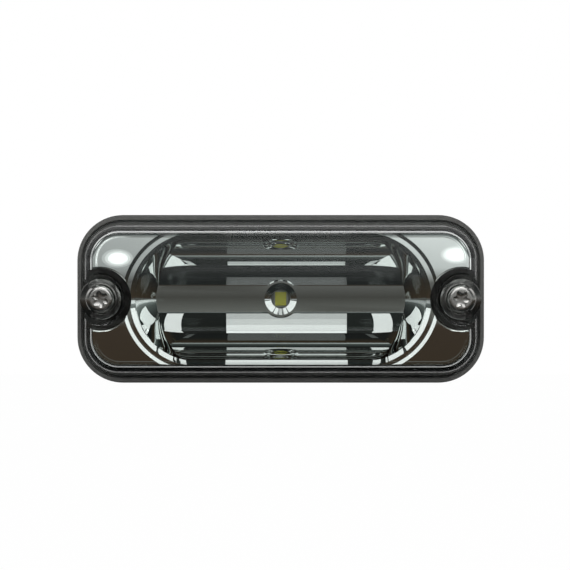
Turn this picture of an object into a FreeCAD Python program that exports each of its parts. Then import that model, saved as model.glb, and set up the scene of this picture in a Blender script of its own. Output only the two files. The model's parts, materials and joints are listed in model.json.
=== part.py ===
import FreeCAD, Part
import math
import os

# Roof marker light: a clear cover over a bright trough reflector with one light chip.
# The light is drawn face up: X runs across it, Y up its face and Z out of its face,
# with Z = 0 on the panel that its gasket presses on. Finished pieces are turned upright,
# so that the face looks along -Y and the panel lies at Y = 0. All sizes are in millimetres.

# Outline of the gasket, which is the largest outline of the light
lamp_width = 130.0
lamp_height = 53.6
corner_radius = 14.6

# Gasket and housing flange
gasket_thickness = 2.0
gasket_margin = 0.5
flange_thickness = 3.0
lip_wall = 1.2
lip_height = 1.2
tub_wall = 2.2
tub_depth = 16.0
tub_corner = 12.0
tub_back_round = 2.0
tub_bowl_gap = 0.5
tub_gasket_gap = 0.4

# Clear cover
cover_rise = 14.0
cover_wall = 2.0
cover_draw = 2.6
cover_front_round = 3.0
cover_inner_round = 1.2
cover_lip_gap = 0.2
foot_width = 3.2
foot_height = 2.0

# Seal cord under the foot of the cover
seal_width = 1.4
seal_height = 1.6
seal_gap = 0.1

# Mounting screws, with the wells, sleeves and washers round them
screw_inset = 8.5
screw_radius = 3.0
shank_radius = 2.7
screw_reach = 20.0
screw_chamfer = 0.8
collar_radius = 6.5
collar_height = 1.2
collar_edge = 0.7
head_height = 3.4
dome_radius = 4.8
crown_radius = 3.3
drive_core_radius = 2.3
drive_lobe_radius = 0.62
drive_lobe_circle = 2.18
drive_depth = 2.3
drive_lobes = 6
washer_radius = 6.4
washer_thickness = 1.2
sleeve_wall = 1.0
sleeve_screw_gap = 0.2
sleeve_hole_gap = 0.1
pad_height = 6.0
well_radius = 7.6
well_wall = 1.9
core_depth = 3.5
boss_wall = 1.8

# Reflector
reflector_front_gap = 1.4
reflector_side_gap = 0.4
plate_thickness = 1.8
skirt_wall = 1.4
notch_gap = 0.3
ledge_depth = 0.8
ledge_width = 2.8
ledge_end_radius = 22.0
bowl_well_gap = 1.2
bowl_wall = 1.8
trough_radius = 19.3
trough_axis_rise = 1.9
strip_width = 8.4
strip_setback = 5.8
bowl_end_margin = 0.3
cup_mouth_radius = 5.2
cup_throat_radius = 3.1
cup_slope = 0.45
cup_lip_wall = 0.6
cup_lip_height = 1.0
cup_wall = 1.4
cup_chip_gap = 0.15

# Circuit board and what is on it
board_drop = 1.7
board_thickness = 1.6
board_margin_x = 4.0
board_margin_y = 6.0
board_screw_inset = 4.0
board_screw_radius = 1.25
board_screw_length = 6.0
board_head_radius = 2.2
board_head_height = 1.4
board_hole_gap = 0.2
post_radius = 3.0
chip_width = 4.6
chip_height = 5.4
chip_thickness = 1.0
phosphor_frame = 0.5
phosphor_thickness = 0.25
row_inset = 3.5
part_pitch = 9.0
driver_size = (4.9, 3.9, 1.5)
resistor_size = (6.3, 3.2, 0.6)
capacitor_size = (3.2, 2.5, 2.0)
diode_size = (4.3, 2.6, 2.1)
suppressor_size = (4.6, 3.4, 2.2)

# Plug socket, contact blades and breather on the back
socket_x = 22.0
socket_width = 22.0
socket_height = 14.0
socket_corner = 3.0
socket_wall = 1.6
socket_depth = 15.0
key_width = 1.6
key_height = 1.0
key_spacing = 8.0
latch_width = 5.0
latch_length = 4.0
latch_rise = 1.4
latch_setback = 3.0
blade_width = 2.8
blade_thickness = 0.8
blade_spacing = 8.4
blade_reach = 9.0
blade_tail = 0.8
breather_x = -22.0
breather_radius = 4.5
breather_thickness = 0.5
breather_hole_radius = 1.5

# Levels along Z, from the panel outwards and from the panel back
flange_back = gasket_thickness
flange_front = flange_back + flange_thickness
cover_front = flange_front + cover_rise
pad_top = flange_front + pad_height
washer_top = pad_top + washer_thickness
plate_front = cover_front - cover_wall - reflector_front_gap
ledge_level = plate_front - ledge_depth
trough_axis = plate_front + trough_axis_rise
strip_level = trough_axis - math.sqrt(trough_radius ** 2 - (strip_width / 2) ** 2)
strip_back = strip_level - bowl_wall
board_front = strip_back - board_drop
board_back = board_front - board_thickness
tub_back = -tub_depth
tub_floor = tub_back + tub_wall
socket_mouth = tub_back - socket_depth

# Outlines that follow from the lamp outline
flange_width = lamp_width - 2 * gasket_margin
flange_height = lamp_height - 2 * gasket_margin
flange_corner = corner_radius - gasket_margin
cover_width = flange_width - 2 * (lip_wall + cover_lip_gap)
cover_height = flange_height - 2 * (lip_wall + cover_lip_gap)
cover_corner = flange_corner - lip_wall - cover_lip_gap

# Radii round the screw axis
screw_x = lamp_width / 2 - screw_inset
sleeve_bore = screw_radius + sleeve_screw_gap
sleeve_radius = sleeve_bore + sleeve_wall
sleeve_hole = sleeve_radius + sleeve_hole_gap
boss_radius = sleeve_hole + boss_wall
well_outer = well_radius + well_wall

# Ends of the bowl: they stop short of the screw wells, and each is turned about an axis at bowl_end_x
bowl_length = 2 * (screw_x - well_outer - bowl_well_gap)
strip_length = bowl_length - 2 * strip_setback
bowl_rim_half = math.sqrt(trough_radius ** 2 - (trough_axis - ledge_level) ** 2)
bowl_end_top = bowl_rim_half + bowl_end_margin
bowl_end_x = bowl_length / 2 - bowl_end_top
bowl_end_bottom = strip_length / 2 - bowl_end_x

# Edges closer to a level than this lie in it
level_tolerance = 1e-4

# Both ends of the light carry the same screw
SIDES = {"left": -1, "right": 1}


def vector(x, y, z):
    """Point or direction in the drawing frame."""
    return FreeCAD.Vector(x, y, z)


def outline(width, height, radius, level):
    """Rounded rectangle centred on the face of the light, as a closed wire at one level."""
    edges = []
    last = None
    first = None
    for quarter, (side_x, side_y) in enumerate(((1, 1), (-1, 1), (-1, -1), (1, -1))):
        centre = vector(side_x * (width / 2 - radius), side_y * (height / 2 - radius), level)
        points = []
        for step in range(3):
            angle = math.radians(90 * quarter + 45 * step)
            points.append(centre + vector(radius * math.cos(angle), radius * math.sin(angle), 0))
        if last is not None:
            edges.append(Part.makeLine(last, points[0]))
        else:
            first = points[0]
        edges.append(Part.Arc(*points).toShape())
        last = points[2]
    edges.append(Part.makeLine(last, first))
    return Part.Wire(edges)


def slab(width, height, radius, low, high):
    """Straight-sided block with a rounded rectangle outline between two levels."""
    return Part.Face(outline(width, height, radius, low)).extrude(vector(0, 0, high - low))


def frame(width, height, radius, outer_inset, inner_inset, low, high):
    """Ring between two insets of one outline."""
    blocks = []
    for inset in (outer_inset, inner_inset):
        blocks.append(slab(width - 2 * inset, height - 2 * inset, radius - inset, low, high))
    return blocks[0].cut(blocks[1])


def post(radius, x, y, low, high):
    """Round post along Z."""
    return Part.makeCylinder(radius, high - low, vector(x, y, low))


def box(size_x, size_y, x, y, low, high):
    """Square block centred on a point of the face."""
    return Part.makeBox(size_x, size_y, high - low, vector(x - size_x / 2, y - size_y / 2, low))


def turned(edges, x=0.0, y=0.0):
    """Solid of revolution from a closed profile of radius and level, about an axis along Z."""
    face = Part.Face(Part.Wire(edges))
    solid = face.revolve(vector(0, 0, 0), vector(0, 0, 1), 360)
    solid.translate(vector(x, y, 0))
    return solid


def polyline(points):
    """Straight edges through points given as radius and level."""
    corners = [vector(radius, 0, level) for radius, level in points]
    return [Part.makeLine(a, b) for a, b in zip(corners, corners[1:])]


def edges_at(shape, level):
    """Edges of a shape that lie in one level."""
    def lies_there(edge):
        bounds = edge.BoundBox
        return max(abs(bounds.ZMin - level), abs(bounds.ZMax - level)) < level_tolerance
    return [edge for edge in shape.Edges if lies_there(edge)]


def upright(shape):
    """The shape turned from face up to its place on the vehicle."""
    placed = shape.copy()
    placed.rotate(vector(0, 0, 0), vector(1, 0, 0), 90)
    return placed


def cover_outline(inset, level):
    """Outline of the drafted cover at one level, inset from its outer skin."""
    inward = inset + cover_draw * (level - flange_front) / cover_rise
    return cover_width - 2 * inward, cover_height - 2 * inward, cover_corner - inward


def cover_block(inset, high, rounding):
    """Drafted block under the cover's outer skin, or inside it, with its front edge rounded."""
    low = flange_front
    width, height, corner = cover_outline(inset, low)
    front_width, front_height, front_corner = cover_outline(inset, high)
    run_x = width - 2 * corner
    run_y = height - 2 * corner
    across = [vector(x / 2, -run_y / 2, level) for x, level in
              ((-width, low), (width, low), (front_width, high), (-front_width, high), (-width, low))]
    along = [vector(-run_x / 2, y / 2, level) for y, level in
             ((-height, low), (height, low), (front_height, high), (-front_height, high), (-height, low))]
    block = Part.Face(Part.makePolygon(across)).extrude(vector(0, run_y, 0))
    block = block.fuse(Part.Face(Part.makePolygon(along)).extrude(vector(run_x, 0, 0)))
    for side_x in SIDES.values():
        for side_y in SIDES.values():
            centre = vector(side_x * run_x / 2, side_y * run_y / 2, low)
            block = block.fuse(Part.makeCone(corner, front_corner, high - low, centre))
    block = block.removeSplitter()
    return block.makeFillet(rounding, edges_at(block, high))


def lens_cover():
    """Clear cover: drafted shell, foot, and a screw well at each end that is open to the side."""
    outer = cover_block(0, cover_front, cover_front_round)
    inner = cover_block(cover_wall, cover_front - cover_wall, cover_inner_round)
    foot_top = flange_front + foot_height
    foot = frame(cover_width, cover_height, cover_corner, 0, foot_width, flange_front, foot_top)
    pad_limit = slab(cover_width, cover_height, cover_corner, flange_front, pad_top)
    cover = outer.cut(inner).fuse(foot)
    for side in SIDES.values():
        x = side * screw_x
        tube = post(well_outer, x, 0, pad_top, cover_front).common(outer)
        pad = post(well_outer, x, 0, flange_front, pad_top).common(pad_limit)
        core_top = flange_front + core_depth
        core = post(well_radius, x, 0, flange_front, core_top)
        core = core.cut(post(boss_radius, x, 0, flange_front, core_top))
        core = core.common(slab(*cover_outline(cover_wall, pad_top), flange_front, core_top))
        cover = cover.fuse(tube).fuse(pad).cut(core)
        cover = cover.cut(post(well_radius, x, 0, pad_top, cover_front + cover_wall))
        cover = cover.cut(post(sleeve_hole, x, 0, flange_front, pad_top))
    return cover.removeSplitter()


def trough(offset, high):
    """Straight trough with a flat strip along its bottom, as deep as its wall offset."""
    radius = trough_radius + offset
    low = strip_level - offset
    half_low = math.sqrt(radius ** 2 - (trough_axis - low) ** 2)
    half_high = math.sqrt(radius ** 2 - (trough_axis - high) ** 2)
    turn = (math.asin(half_low / radius) + math.asin(half_high / radius)) / 2
    x = -bowl_length
    mid_y = radius * math.sin(turn)
    mid_z = trough_axis - radius * math.cos(turn)
    edges = [
        Part.makeLine(vector(x, -half_low, low), vector(x, half_low, low)),
        Part.makeLine(vector(x, half_high, high), vector(x, -half_high, high)),
    ]
    for side in (1, -1):
        foot = vector(x, side * half_low, low)
        middle = vector(x, side * mid_y, mid_z)
        edges.append(Part.Arc(foot, middle, vector(x, side * half_high, high)).toShape())
    return Part.Face(Part.Wire(Part.sortEdges(edges)[0])).extrude(vector(2 * bowl_length, 0, 0))


def bowl_end_arc():
    """Centre radius and arc radius of the end wall's profile, level with the trough's axis."""
    rise_top = trough_axis - ledge_level
    rise_bottom = trough_axis - strip_level
    top_sum = bowl_end_top ** 2 + rise_top ** 2
    bottom_sum = bowl_end_bottom ** 2 + rise_bottom ** 2
    centre = (top_sum - bottom_sum) / (2 * (bowl_end_top - bowl_end_bottom))
    return centre, math.hypot(bowl_end_top - centre, rise_top)


def bowl_end_radius(level, offset=0.0):
    """Radius of the end wall at one level, measured from its own axis."""
    centre, radius = bowl_end_arc()
    return centre + math.sqrt((radius + offset) ** 2 - (trough_axis - level) ** 2)


def bowl(offset, high):
    """Bowl of the reflector: the trough, closed at both ends by steep round walls."""
    low = strip_level - offset
    middle = (low + high) / 2
    ring = [vector(bowl_end_radius(level, offset), 0, level) for level in (low, middle, high)]
    half_height = trough_radius + offset + bowl_end_margin
    ends = box(2 * bowl_end_x, 2 * half_height, 0, 0, low, high)
    for side in SIDES.values():
        profile = polyline([(0, high), (0, low), (ring[0].x, low)])
        profile.append(Part.Arc(*ring).toShape())
        profile.append(Part.makeLine(ring[2], vector(0, 0, high)))
        ends = ends.fuse(turned(profile, side * bowl_end_x))
    return trough(offset, high).common(ends)


def ledge_cut():
    """Shallow step round the rim of the bowl, with round ends."""
    half = bowl_length / 2 + ledge_width
    x = half - ledge_end_radius
    high = plate_front + cover_wall
    cut = box(2 * x, 2 * ledge_end_radius, 0, 0, ledge_level, high)
    for side in SIDES.values():
        cut = cut.fuse(post(ledge_end_radius, side * x, 0, ledge_level, high))
    return cut


def reflector():
    """Bright reflector: plates, skirt, stepped rim, trough bowl and the cup round the light chip."""
    size = cover_outline(cover_wall + reflector_side_gap, plate_front)
    body = slab(*size, plate_front - plate_thickness, plate_front)
    body = body.fuse(frame(*size, 0, skirt_wall, flange_front, plate_front))
    shell = bowl(bowl_wall, plate_front)
    body = body.fuse(shell.common(slab(*size, strip_back, plate_front)))
    collar_low = board_front + chip_thickness + phosphor_thickness + cup_chip_gap
    collar_radius_low = cup_throat_radius + cup_wall
    body = body.fuse(post(collar_radius_low, 0, 0, collar_low, strip_level))
    body = body.cut(bowl(0, plate_front)).cut(ledge_cut())
    lip_top = strip_level + cup_lip_height
    body = body.fuse(post(cup_mouth_radius + cup_lip_wall, 0, 0, strip_back, lip_top))
    dish_low = lip_top - (cup_mouth_radius - cup_throat_radius) * cup_slope
    cup = polyline([(0, lip_top), (0, collar_low), (cup_throat_radius, collar_low),
                    (cup_throat_radius, dish_low), (cup_mouth_radius, lip_top), (0, lip_top)])
    body = body.cut(turned(cup))
    for side in SIDES.values():
        notch = post(well_outer + notch_gap, side * screw_x, 0, flange_front, plate_front)
        body = body.cut(notch)
    return body.removeSplitter()


# The tub stands clear of the bowl where the bowl passes through the flange
bowl_half_height = math.sqrt((trough_radius + bowl_wall) ** 2 - (trough_axis - flange_front) ** 2)
bowl_half_length = bowl_end_x + bowl_end_radius(flange_front, bowl_wall)
tub_inner_width = 2 * (bowl_half_length + tub_bowl_gap)
tub_inner_height = 2 * (bowl_half_height + tub_bowl_gap)
tub_width = tub_inner_width + 2 * tub_wall
tub_height = tub_inner_height + 2 * tub_wall
board_width = tub_inner_width - 2 * board_margin_x
board_height = tub_inner_height - 2 * board_margin_y
board_screw_x = board_width / 2 - board_screw_inset
row_offset = board_height / 2 - row_inset


def mounting_gasket():
    """Flat gasket with a window for the tub and a hole for each sleeve."""
    gasket = slab(lamp_width, lamp_height, corner_radius, 0, gasket_thickness)
    window_width = tub_width + 2 * tub_gasket_gap
    window_height = tub_height + 2 * tub_gasket_gap
    window = slab(window_width, window_height, tub_corner + tub_gasket_gap, 0, gasket_thickness)
    gasket = gasket.cut(window)
    for side in SIDES.values():
        gasket = gasket.cut(post(sleeve_hole, side * screw_x, 0, 0, gasket_thickness))
    return gasket


def lens_seal():
    """Seal cord that fills its groove and presses on the foot of the cover."""
    outer_inset = (foot_width - seal_width) / 2
    inner_inset = outer_inset + seal_width
    low = flange_front - seal_height
    return frame(cover_width, cover_height, cover_corner, outer_inset, inner_inset, low, flange_front)


def seal_groove():
    """Groove in the flange for the seal cord."""
    outer_inset = (foot_width - seal_width) / 2 - seal_gap
    inner_inset = (foot_width + seal_width) / 2 + seal_gap
    low = flange_front - seal_height
    return frame(cover_width, cover_height, cover_corner, outer_inset, inner_inset, low, flange_front)


def plug_socket():
    """Socket for the vehicle's plug on the back of the tub, with keys inside and a latch ramp."""
    inner_width = socket_width - 2 * socket_wall
    inner_height = socket_height - 2 * socket_wall
    inner_corner = socket_corner - socket_wall
    socket = slab(socket_width, socket_height, socket_corner, socket_mouth, tub_back)
    socket = socket.cut(slab(inner_width, inner_height, inner_corner, socket_mouth, tub_back))
    key_y = -inner_height / 2 + key_height / 2
    key_end = socket_mouth + socket_wall
    for side in SIDES.values():
        key_x = side * key_spacing / 2
        socket = socket.fuse(box(key_width, key_height, key_x, key_y, key_end, tub_back))
    top = socket_height / 2
    start = socket_mouth + latch_setback
    end = start + latch_length
    ramp_points = [(top, start), (top + latch_rise, end), (top, end), (top, start)]
    corners = [vector(-latch_width / 2, y, z) for y, z in ramp_points]
    ramp = Part.Face(Part.makePolygon(corners)).extrude(vector(latch_width, 0, 0))
    socket = socket.fuse(ramp)
    socket.translate(vector(socket_x, 0, 0))
    return socket


def blade_section(x, low, high):
    """Straight contact blade between two levels."""
    return box(blade_width, blade_thickness, x, 0, low, high)


def blade_x(side):
    """Place of one contact blade across the light."""
    return socket_x + side * blade_spacing / 2


def base_housing():
    """Black housing: flange with a lip, tub, board posts, plug socket and breather seat."""
    tub = slab(tub_width, tub_height, tub_corner, tub_back, flange_front)
    tub = tub.makeFillet(tub_back_round, edges_at(tub, tub_back))
    body = slab(flange_width, flange_height, flange_corner, flange_back, flange_front)
    lip_top = flange_front + lip_height
    body = body.fuse(frame(flange_width, flange_height, flange_corner, 0, lip_wall, flange_front, lip_top))
    body = body.fuse(tub).fuse(plug_socket())
    inside = slab(tub_inner_width, tub_inner_height, tub_corner - tub_wall, tub_floor, flange_front)
    body = body.cut(inside).cut(seal_groove())
    for side in SIDES.values():
        pillar = post(post_radius, side * board_screw_x, 0, tub_floor, board_back)
        body = body.fuse(pillar)
        pilot_low = board_front - board_screw_length
        body = body.cut(post(board_screw_radius, side * board_screw_x, 0, pilot_low, board_back))
        body = body.cut(post(sleeve_hole, side * screw_x, 0, flange_back, flange_front))
        body = body.cut(blade_section(blade_x(side), tub_back, tub_floor))
    body = body.cut(post(breather_radius, breather_x, 0, tub_back, tub_back + breather_thickness))
    body = body.cut(post(breather_hole_radius, breather_x, 0, tub_back, tub_floor))
    return body.removeSplitter()


def circuit_board():
    """Board with holes for its screws and the tails of the contact blades."""
    board = box(board_width, board_height, 0, 0, board_back, board_front)
    for side in SIDES.values():
        hole = post(board_screw_radius + board_hole_gap, side * board_screw_x, 0, board_back, board_front)
        board = board.cut(hole).cut(blade_section(blade_x(side), board_back, board_front))
    return board


def mounting_screw(x):
    """Flange button screw: domed head, six-lobe drive, waisted shank, thread behind the panel plane."""
    top = washer_top + head_height
    collar_top = washer_top + collar_height
    shoulder = (dome_radius + crown_radius) / 2 + collar_edge / 2
    dome = Part.Arc(
        vector(dome_radius, 0, collar_top),
        vector(shoulder, 0, (collar_top + top) / 2 + collar_edge / 4),
        vector(crown_radius, 0, top),
    )
    profile = polyline([
        (0, top), (0, -screw_reach), (screw_radius - screw_chamfer, -screw_reach),
        (screw_radius, screw_chamfer - screw_reach), (screw_radius, 0), (shank_radius, 0),
        (shank_radius, washer_top), (collar_radius, washer_top),
        (collar_radius, washer_top + collar_edge), (dome_radius, collar_top),
    ])
    profile.append(dome.toShape())
    profile.append(Part.makeLine(vector(crown_radius, 0, top), vector(0, 0, top)))
    drive = post(drive_core_radius, 0, 0, top - drive_depth, top)
    for lobe in range(drive_lobes):
        angle = 2 * math.pi * lobe / drive_lobes
        lobe_x = drive_lobe_circle * math.cos(angle)
        lobe_y = drive_lobe_circle * math.sin(angle)
        drive = drive.fuse(post(drive_lobe_radius, lobe_x, lobe_y, top - drive_depth, top))
    screw = turned(profile).cut(drive.removeSplitter())
    screw.translate(vector(x, 0, 0))
    return screw


def mounting_screws():
    """The two screws that hold the light on the vehicle."""
    return Part.makeCompound([mounting_screw(side * screw_x) for side in SIDES.values()])


def screw_seal(side):
    """Sealing washer between the screw's collar and the floor of its well."""
    x = side * screw_x
    ring = post(washer_radius, x, 0, pad_top, washer_top)
    return ring.cut(post(sleeve_bore, x, 0, pad_top, washer_top))


def spacer_sleeve(side):
    """Metal sleeve between the panel and the washer."""
    x = side * screw_x
    return post(sleeve_radius, x, 0, 0, pad_top).cut(post(sleeve_bore, x, 0, 0, pad_top))


def board_screws():
    """The two pan-head screws that hold the board on its posts."""
    screws = []
    for side in SIDES.values():
        x = side * board_screw_x
        shank = post(board_screw_radius, x, 0, board_front - board_screw_length, board_front)
        head = post(board_head_radius, x, 0, board_front, board_front + board_head_height)
        screws.append(shank.fuse(head))
    return Part.makeCompound(screws)


def terminal_blade(side):
    """Contact blade from the board through the rear wall into the plug socket."""
    return blade_section(blade_x(side), tub_back - blade_reach, board_front + blade_tail)


def led_package():
    """Body of the light chip at the bottom of the cup."""
    return box(chip_width, chip_height, 0, 0, board_front, board_front + chip_thickness)


def led_phosphor():
    """Yellow emitting face of the light chip."""
    low = board_front + chip_thickness
    width = chip_width - 2 * phosphor_frame
    height = chip_height - 2 * phosphor_frame
    return box(width, height, 0, 0, low, low + phosphor_thickness)


def board_part(size, place, row):
    """Component on the back of the board, counted in pitches from its middle."""
    width, height, thickness = size
    return box(width, height, place * part_pitch, row * row_offset, board_back - thickness, board_back)


def breather_membrane():
    """Vent disc let into the rear wall."""
    return post(breather_radius, breather_x, 0, tub_back, tub_back + breather_thickness)


def pieces():
    """Every piece of the light by name, in the drawing frame."""
    named = {
        "lens_cover": lens_cover(),
        "reflector": reflector(),
        "base_housing": base_housing(),
        "mounting_gasket": mounting_gasket(),
        "lens_seal": lens_seal(),
        "mounting_screws": mounting_screws(),
        "circuit_board": circuit_board(),
        "board_screws": board_screws(),
        "led_package": led_package(),
        "led_phosphor": led_phosphor(),
        "driver_chip": board_part(driver_size, -1, 1),
        "polarity_diode": board_part(diode_size, 1, 1),
        "surge_suppressor": board_part(suppressor_size, 2, 1),
        "breather_membrane": breather_membrane(),
    }
    for number, place in enumerate((-2, -1, 0), start=1):
        named[f"ballast_resistor_{number}"] = board_part(resistor_size, place, -1)
    for number, place in enumerate((1, 2), start=1):
        named[f"filter_capacitor_{number}"] = board_part(capacitor_size, place, -1)
    for name, side in SIDES.items():
        named[f"screw_seal_{name}"] = screw_seal(side)
        named[f"spacer_sleeve_{name}"] = spacer_sleeve(side)
        named[f"terminal_blade_{name}"] = terminal_blade(side)
    return named


def main():
    """Writes one file per piece."""
    os.makedirs("parts", exist_ok=True)
    for name, shape in pieces().items():
        upright(shape).exportStep(os.path.join("parts", f"{name}.step"))


main()
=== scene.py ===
"""Looks of a roof marker light: clear cover, bright trough reflector, black housing and screws."""

import json
import logging
import math
from dataclasses import dataclass, field
from enum import Enum
from typing import Iterable, Sequence

import bmesh
import bpy
from mathutils import Matrix, Vector


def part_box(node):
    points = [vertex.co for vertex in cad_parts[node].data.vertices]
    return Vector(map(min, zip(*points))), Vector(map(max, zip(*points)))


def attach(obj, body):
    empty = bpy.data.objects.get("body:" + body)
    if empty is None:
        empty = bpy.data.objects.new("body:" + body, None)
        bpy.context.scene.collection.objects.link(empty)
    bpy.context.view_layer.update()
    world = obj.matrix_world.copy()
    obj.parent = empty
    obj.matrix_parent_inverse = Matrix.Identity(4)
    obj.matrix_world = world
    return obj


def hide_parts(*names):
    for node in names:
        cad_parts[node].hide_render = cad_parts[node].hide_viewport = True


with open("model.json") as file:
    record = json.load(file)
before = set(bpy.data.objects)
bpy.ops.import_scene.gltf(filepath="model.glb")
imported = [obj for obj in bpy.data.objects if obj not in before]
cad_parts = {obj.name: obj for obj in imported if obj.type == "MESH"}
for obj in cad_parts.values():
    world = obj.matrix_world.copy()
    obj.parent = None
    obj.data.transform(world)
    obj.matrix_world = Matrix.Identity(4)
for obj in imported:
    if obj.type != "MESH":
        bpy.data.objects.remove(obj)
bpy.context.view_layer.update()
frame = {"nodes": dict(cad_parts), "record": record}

Mesh = bmesh.types.BMesh
Vert = bmesh.types.BMVert
Edge = bmesh.types.BMEdge
Thing = bpy.types.Object
Material = bpy.types.Material
Node = bpy.types.Node
Tree = bpy.types.NodeTree
Socket = bpy.types.NodeSocket
Colour = tuple[float, float, float]

BODY = "root"
QUARTER = math.pi / 2

# Lengths in metres: a millimetre, and how near points are merged
MM = 0.001
MERGE = 2e-6
MERGE_TURNED = 1e-7
MERGE_FRAME = 1e-6

# Lengths in millimetres: how far cutters stand past the faces that they open
CLEAR_CUT = 0.03
PAST = 1.0
OVERSHOOT = 3.0

# Degrees up to which faces count as one flat, and how strongly flats set the shading
FLAT = 0.1
FLAT_WEIGHT = 80

# Y of a normal below which a face looks forward
FORWARD = -0.5

# Steps of round shapes
ROUND_STEPS = 96
EDGE_STEPS = 8

# Sockets of a colour mix
MIX_FIRST = 6
MIX_SECOND = 7
MIX_RESULT = 2

log = logging.getLogger("marker_light")


class Side(Enum):
    """The two ends of the light."""

    LEFT = -1
    RIGHT = 1


class Solver(Enum):
    """How a tool acts on a block."""

    CUT = "DIFFERENCE"
    JOIN = "UNION"
    KEEP = "INTERSECT"


class LightShape(Enum):
    """Outline of a soft light's face."""

    BOX = "RECTANGLE"
    OVAL = "ELLIPSE"

    @property
    def fill(self) -> float:
        """Share of its width times height that the face fills."""
        return 1.0 if self is LightShape.BOX else math.pi / 4


# Mesh helpers


def lay_along_y(bm: Mesh, verts: Sequence[Vert]) -> None:
    """Turns what was made along Z so that it runs along Y."""
    turn = Matrix.Rotation(QUARTER, 3, "X")
    bmesh.ops.rotate(bm, verts=verts, cent=(0, 0, 0), matrix=turn)


def rounded_ring(bm: Mesh, half_x: float, half_z: float, radius: float, depth: float,
                 steps: int = 18) -> list[Edge]:
    """Closed ring of edges along a rounded rectangle, at one depth along Y.

    Args:
        bm: Mesh that takes the ring.
        half_x: Half width in metres.
        half_z: Half height in metres.
        radius: Corner radius in metres.
        depth: Place along Y in metres.
        steps: Points in each corner.

    Returns:
        The ring's edges.
    """
    made = bmesh.ops.create_circle(bm, cap_ends=False, segments=4 * steps, radius=radius)
    verts = made["verts"]
    half_step = Matrix.Rotation(math.pi / (4 * steps), 3, "Z")
    bmesh.ops.rotate(bm, verts=verts, cent=(0, 0, 0), matrix=half_step)
    for sign_x in (-1, 1):
        for sign_z in (-1, 1):
            corner = [v for v in verts if v.co.x * sign_x > 0 and v.co.y * sign_z > 0]
            shift = Vector((sign_x * (half_x - radius), sign_z * (half_z - radius), 0))
            bmesh.ops.translate(bm, verts=corner, vec=shift)
    lay_along_y(bm, verts)
    bmesh.ops.translate(bm, verts=verts, vec=(0, depth, 0))
    return list({e for v in verts for e in v.link_edges})


def close_rings(bm: Mesh, rings: Sequence[Sequence[Edge]]) -> Mesh:
    """Bridges a stack of rings and fills both ends, with the faces turned outwards.

    Args:
        bm: Mesh that holds the rings.
        rings: Edge rings from back to front, all with the same number of points.

    Returns:
        The same mesh.
    """
    for lower, upper in zip(rings, rings[1:]):
        bmesh.ops.bridge_loops(bm, edges=list(lower) + list(upper))
    for end in (rings[0], rings[-1]):
        bmesh.ops.contextual_create(bm, geom=list(end))
    bmesh.ops.recalc_face_normals(bm, faces=bm.faces)
    return bm


def post(radius: float, x: float, back: float, front: float) -> Mesh:
    """Round block along Y at mid height.

    Args:
        radius: Radius in millimetres.
        x: Place of the axis across the light.
        back: Level of its back end in front of the panel.
        front: Level of its front end in front of the panel.

    Returns:
        A new mesh.
    """
    bm = bmesh.new()
    bmesh.ops.create_cone(bm, cap_ends=True, segments=ROUND_STEPS, radius1=radius * MM,
                          radius2=radius * MM, depth=(front - back) * MM)
    lay_along_y(bm, bm.verts)
    bmesh.ops.translate(bm, verts=bm.verts, vec=(x * MM, -(back + front) / 2 * MM, 0))
    return bm


def turned(profile: Sequence[tuple[float, float]], x: float = 0.0) -> Mesh:
    """Turned block about an axis along Y.

    Args:
        profile: Radii and levels in front of the panel in millimetres, from axis to axis.
        x: Place of the axis across the light.

    Returns:
        A new mesh.
    """
    bm = bmesh.new()
    verts = [bm.verts.new((radius * MM, -level * MM, 0)) for radius, level in profile]
    edges = [bm.edges.new(pair) for pair in zip(verts, verts[1:])]
    bmesh.ops.spin(bm, geom=verts + edges, cent=(0, 0, 0), axis=(0, 1, 0), angle=2 * math.pi,
                   steps=ROUND_STEPS, use_merge=True)
    bmesh.ops.remove_doubles(bm, verts=bm.verts, dist=MERGE_TURNED)
    bmesh.ops.recalc_face_normals(bm, faces=bm.faces)
    bmesh.ops.translate(bm, verts=bm.verts, vec=(x * MM, 0, 0))
    return bm


def flared(radius: float, flare: float, x: float, back: float, front: float,
           steps: int = EDGE_STEPS) -> Mesh:
    """Round cutter along Y that opens out over a rounded edge at its front.

    Args:
        radius: Radius behind the rounded edge, in millimetres.
        flare: Radius of the rounded edge.
        x: Place of the axis across the light.
        back: Level of its back end in front of the panel.
        front: Level of the face that it opens in.
        steps: Steps of the rounded edge, where 1 makes a chamfer.

    Returns:
        A new mesh.
    """
    profile = [(0.0, back), (radius, back)]
    for step in range(steps + 1):
        turn = QUARTER * step / steps
        profile.append((radius + flare * (1 - math.cos(turn)),
                        front + CLEAR_CUT - flare * (1 - math.sin(turn))))
    profile += [(radius + flare, front + OVERSHOOT), (0.0, front + OVERSHOOT)]
    return turned(profile, x)


def as_object(bm: Mesh, name: str) -> Thing:
    """Object at the origin that holds a mesh.

    Args:
        bm: Mesh, which is freed.
        name: Name of the object and its mesh.

    Returns:
        The object, linked to the scene.
    """
    mesh = bpy.data.meshes.new(name)
    bm.to_mesh(mesh)
    bm.free()
    obj = bpy.data.objects.new(name, mesh)
    bpy.context.scene.collection.objects.link(obj)
    return obj


def drop(obj: Thing) -> None:
    """Removes a work object and its mesh.

    Args:
        obj: Object to remove.
    """
    mesh = obj.data
    bpy.data.objects.remove(obj)
    bpy.data.meshes.remove(mesh)


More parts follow.
